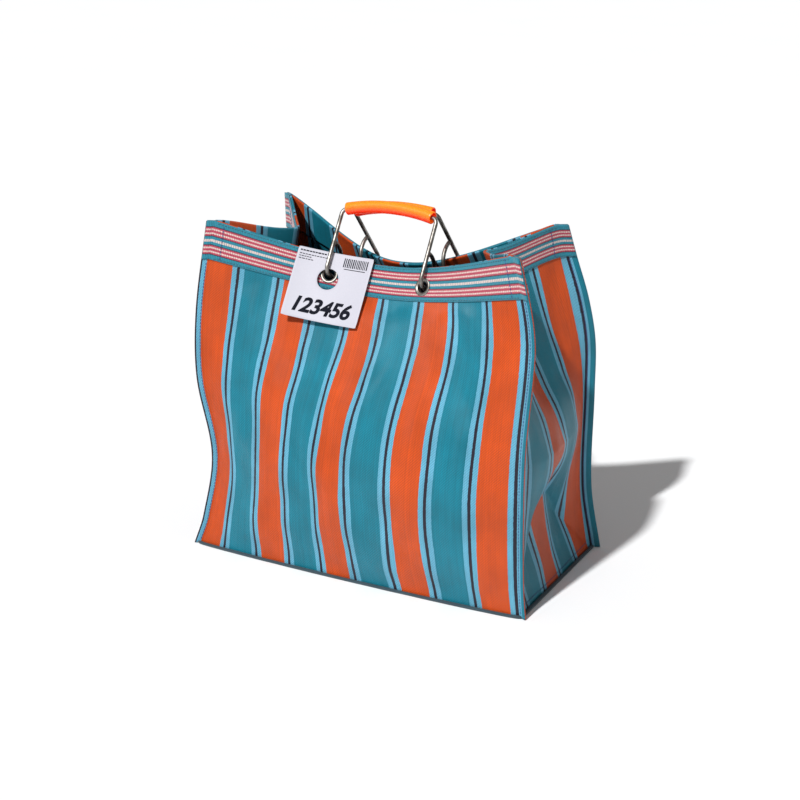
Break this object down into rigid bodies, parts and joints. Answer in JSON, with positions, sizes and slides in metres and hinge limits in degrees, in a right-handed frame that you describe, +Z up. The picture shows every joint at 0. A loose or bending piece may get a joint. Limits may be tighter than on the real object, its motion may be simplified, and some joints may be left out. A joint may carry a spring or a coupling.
{
  "type": "gusseted shopping bag",
  "caption": "Free-standing gusseted carrier bag of striped woven plastic cloth, with a taped hem and bent-wire bail handles in eyelets.",
  "frame": {"origin": "middle of the base, on the surface that the bag stands on", "axes": "+Z up; +X along the bag's width, to the right seen from the front; the front panel, with the hang tag, faces -Y"},
  "size_m": [0.3771, 0.2426, 0.3612],
  "materials": {
    "striped_cloth": "woven plastic ribbon, semi-gloss, orange, teal, light blue and dark stripes",
    "base_cloth": "woven plastic ribbon, semi-gloss teal",
    "hem_tape": "woven tape in pink, teal and white",
    "seam_cloth": "folded and stitched selvedge",
    "wire_steel": "drawn steel wire, lightly worn",
    "grip_plastic": "translucent extruded tube",
    "eyelet_metal": "pressed steel, dull",
    "tag_card": "coated white card"
  },
  "bodies": {
    "bag": {"front_panel": "striped_cloth", "back_panel": "striped_cloth", "left_gusset": "striped_cloth", "right_gusset": "striped_cloth", "bottom_panel": "base_cloth", "front_tape": "hem_tape", "front_base_welt": "seam_cloth", "back_tape": "hem_tape", "back_base_welt": "seam_cloth", "left_tape": "hem_tape", "left_base_welt": "seam_cloth", "right_tape": "hem_tape", "right_base_welt": "seam_cloth", "front_left_seam": "seam_cloth", "front_right_seam": "seam_cloth", "back_left_seam": "seam_cloth", "back_right_seam": "seam_cloth", "front_left_eyelet": "eyelet_metal", "front_left_washer": "eyelet_metal", "front_right_eyelet": "eyelet_metal", "front_right_washer": "eyelet_metal", "rear_left_eyelet": "eyelet_metal", "rear_left_washer": "eyelet_metal", "rear_right_eyelet": "eyelet_metal", "rear_right_washer": "eyelet_metal"},
    "front_handle": {"front_wire": "wire_steel", "front_grip": "grip_plastic"},
    "rear_handle": {"rear_wire": "wire_steel", "rear_grip": "grip_plastic"},
    "tag": {"hang_tag": "tag_card"}
  },
  "joints": [
    {"name": "front_handle_swing", "type": "hinge", "parent": "bag", "child": "front_handle", "pos_m": [0.003, -0.04567, 0.28944], "axis": [1, 0.0068, 0.0003], "range_deg": [0, 25]},
    {"name": "rear_handle_swing", "type": "hinge", "parent": "bag", "child": "rear_handle", "pos_m": [0.003, 0.03303, 0.28586], "axis": [-0.985, 0.1493, -0.0868], "range_deg": [0, 25]},
    {"name": "tag_swing", "type": "hinge", "parent": "bag", "child": "tag", "pos_m": [-0.04797, -0.05068, 0.29234], "axis": [0.2219, -0.8265, 0.5174], "range_deg": [-7, 7]}
  ]
}
